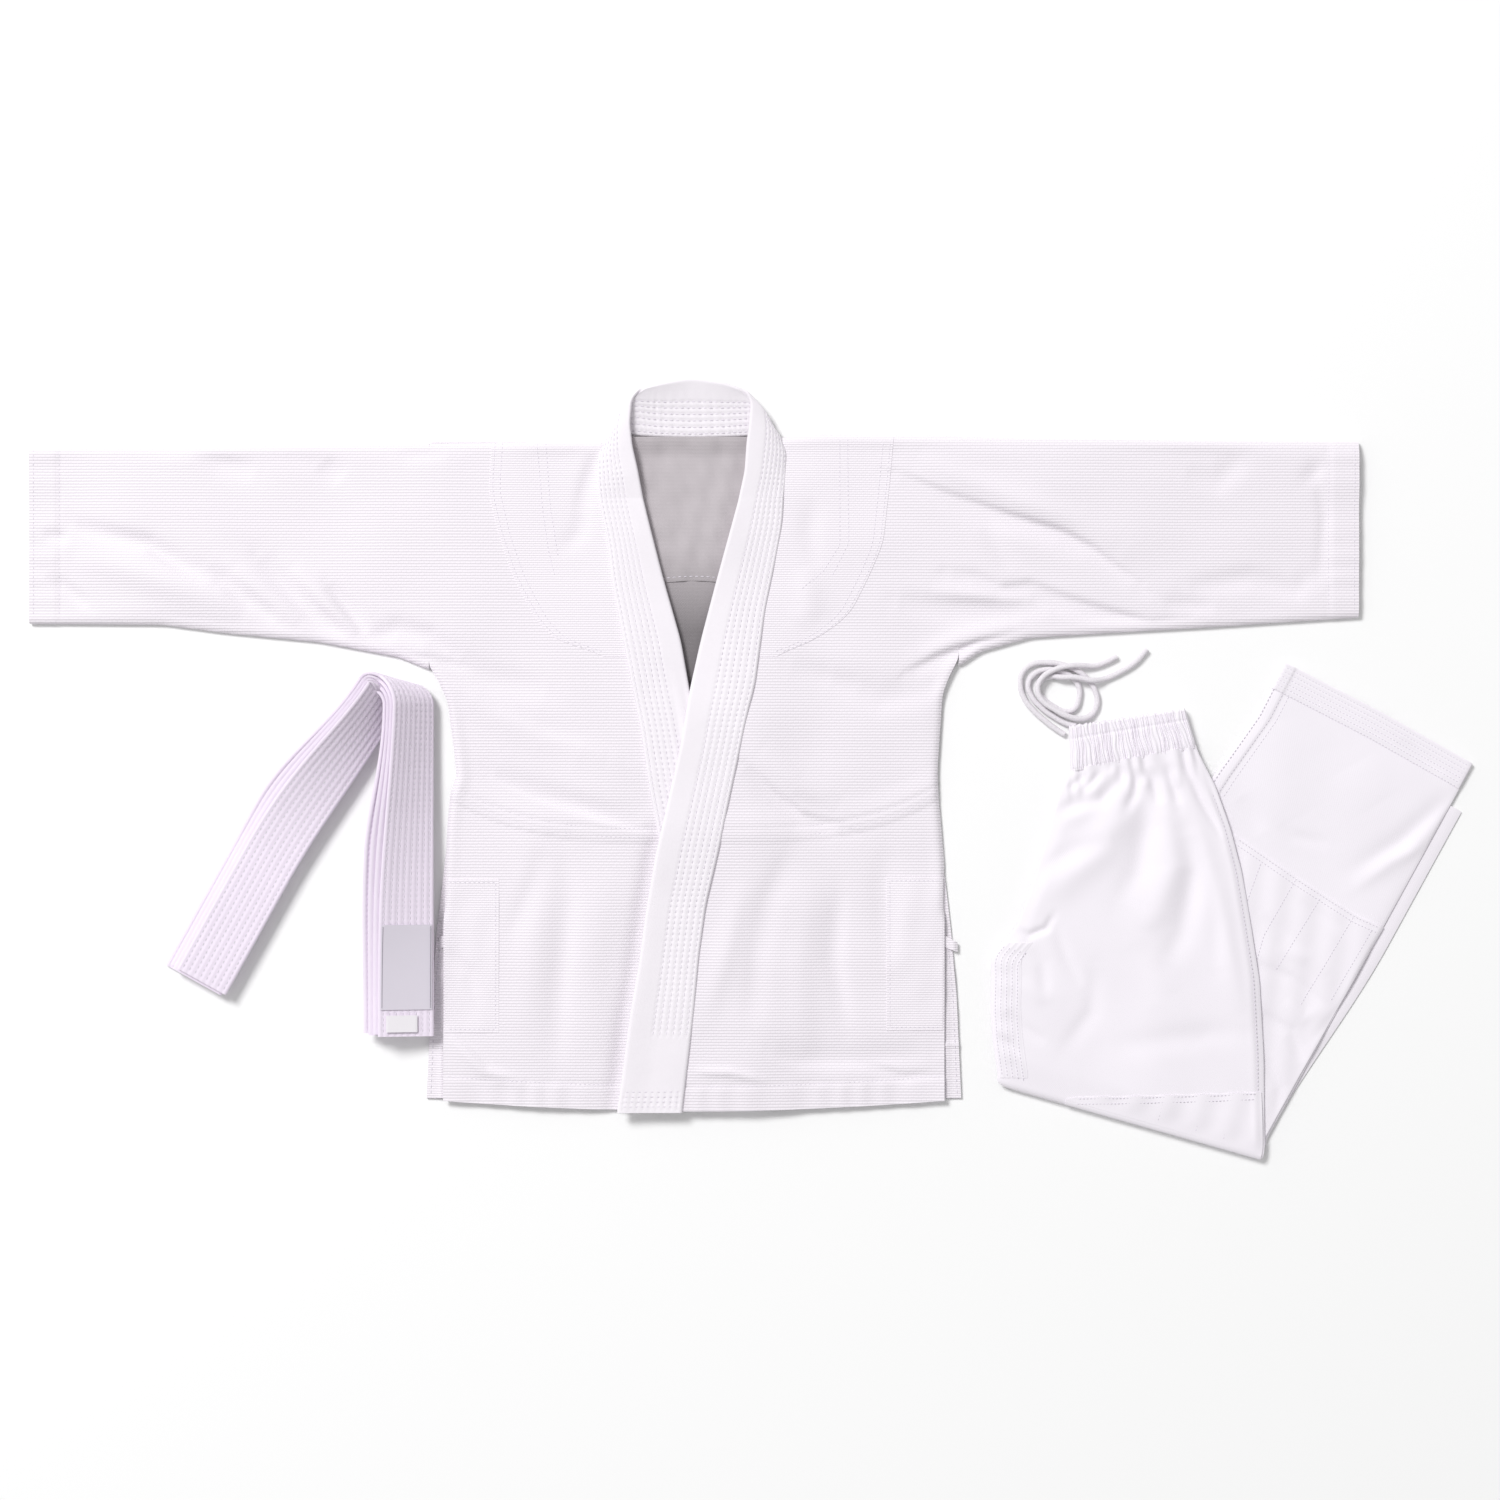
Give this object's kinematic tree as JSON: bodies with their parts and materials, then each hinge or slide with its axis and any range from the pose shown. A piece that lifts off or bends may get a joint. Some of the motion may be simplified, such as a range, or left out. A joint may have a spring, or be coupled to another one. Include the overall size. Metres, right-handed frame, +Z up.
{
  "type": "martial arts uniform",
  "caption": "Judo style uniform laid flat: crossed jacket with stitched collar band, folded white belt, and trousers folded at the knee with a gathered waist and drawstring.",
  "frame": {"origin": "on the floor, at the centre of the whole layout's outline", "axes": "+X from the left cuff to the right cuff, +Y from the hem to the collar, +Z up off the floor"},
  "size_m": [1.297, 0.6942, 0.0489],
  "materials": {
    "pearl_weave": "ribbed pearl weave cotton, matt",
    "trouser_drill": "smooth cotton drill",
    "collar_band": "row-stitched cotton band",
    "neck_lining": "plain cotton, in shade",
    "belt_cotton": "row-stitched cotton belt",
    "label_satin": "grey satin ribbon",
    "blank_tag": "plain white woven tag",
    "elastic": "knitted elastic",
    "drawstring": "braided round cotton cord"
  },
  "bodies": {
    "jacket": {"back_body": "pearl_weave", "back_skirt": "pearl_weave", "back_hem_facing": "pearl_weave", "inner_neck_yoke": "neck_lining", "neck_collar": "collar_band", "left_side_front": "pearl_weave", "left_side_skirt": "pearl_weave", "left_shoulder_patch": "pearl_weave", "left_vent_gusset": "trouser_drill", "left_vent_facing": "pearl_weave", "right_side_front": "pearl_weave", "right_side_skirt": "pearl_weave", "right_shoulder_patch": "pearl_weave", "right_vent_gusset": "trouser_drill", "right_vent_facing": "pearl_weave", "left_upper_sleeve_back": "pearl_weave", "left_upper_sleeve_front": "pearl_weave", "right_upper_sleeve_back": "pearl_weave", "right_upper_sleeve_front": "pearl_weave"},
    "left_sleeve": {"left_lower_sleeve_back": "pearl_weave", "left_lower_sleeve_front": "pearl_weave", "left_cuff_facing": "pearl_weave"},
    "right_sleeve": {"right_lower_sleeve_back": "pearl_weave", "right_lower_sleeve_front": "pearl_weave", "right_cuff_facing": "pearl_weave"},
    "over_flap": {"over_front": "pearl_weave", "over_front_skirt": "pearl_weave", "over_lapel": "collar_band", "over_hem_facing": "pearl_weave", "over_vent_patch": "pearl_weave"},
    "under_flap": {"under_front": "pearl_weave", "under_front_skirt": "pearl_weave", "under_lapel": "collar_band", "under_hem_facing": "pearl_weave", "under_vent_patch": "pearl_weave"},
    "belt": {"belt_right_run": "belt_cotton", "belt_label": "label_satin", "belt_size_tag": "blank_tag"},
    "belt_left": {"belt_left_run": "belt_cotton"},
    "trouser_shins": {"outer_shin_front": "trouser_drill", "outer_shin_back": "trouser_drill", "inner_shin_back": "trouser_drill", "inner_shin_front": "trouser_drill", "inner_knee_patch": "trouser_drill", "inner_leg_hem": "trouser_drill"},
    "trouser_top": {"inner_thigh_front": "trouser_drill", "inner_thigh_back": "trouser_drill", "outer_thigh_back": "trouser_drill", "outer_thigh_front": "trouser_drill", "outer_knee_patch": "trouser_drill", "crotch_gusset": "trouser_drill", "waistband_under": "trouser_drill", "waist_elastic": "elastic", "waistband_over": "trouser_drill", "drawstring_over_end": "drawstring", "drawstring_under_end": "drawstring"}
  },
  "joints": [
    {"name": "over_front_open", "type": "hinge", "parent": "jacket", "child": "over_flap", "pos_m": [0.02849, 0.28811, 0.0064], "axis": [-0.3123, 0.95, 0], "range_deg": [0, 95]},
    {"name": "under_front_open", "type": "hinge", "parent": "jacket", "child": "under_flap", "pos_m": [-0.13151, 0.28811, 0.0064], "axis": [-0.3123, -0.95, 0], "range_deg": [0, 50]},
    {"name": "left_sleeve_fold", "type": "hinge", "parent": "jacket", "child": "left_sleeve", "pos_m": [-0.43751, 0.21311, 0.0064], "axis": [0, 1, 0], "range_deg": [0, 170]},
    {"name": "right_sleeve_fold", "type": "hinge", "parent": "jacket", "child": "right_sleeve", "pos_m": [0.33449, 0.21311, 0.0064], "axis": [0, -1, 0], "range_deg": [0, 170]},
    {"name": "belt_lift", "type": "slide", "parent": "jacket", "child": "belt", "axis": [0, 0, 1], "range_m": [0, 0.2]},
    {"name": "belt_spread", "type": "hinge", "parent": "belt", "child": "belt_left", "pos_m": [-0.30351, 0.05511, 0.02], "axis": [0, 0, -1], "range_deg": [0, 30]},
    {"name": "trousers_lift", "type": "slide", "parent": "jacket", "child": "trouser_shins", "axis": [0, 0, 1], "range_m": [0, 0.2]},
    {"name": "knee_unfold", "type": "hinge", "parent": "trouser_shins", "child": "trouser_top", "pos_m": [0.22099, -0.28153, 0.00525], "axis": [0.9625, -0.2714, 0], "range_deg": [0, 178]}
  ],
  "couplings": [
    {"joint": "under_front_open", "follows": "over_front_open", "ratio": 0.5}
  ]
}
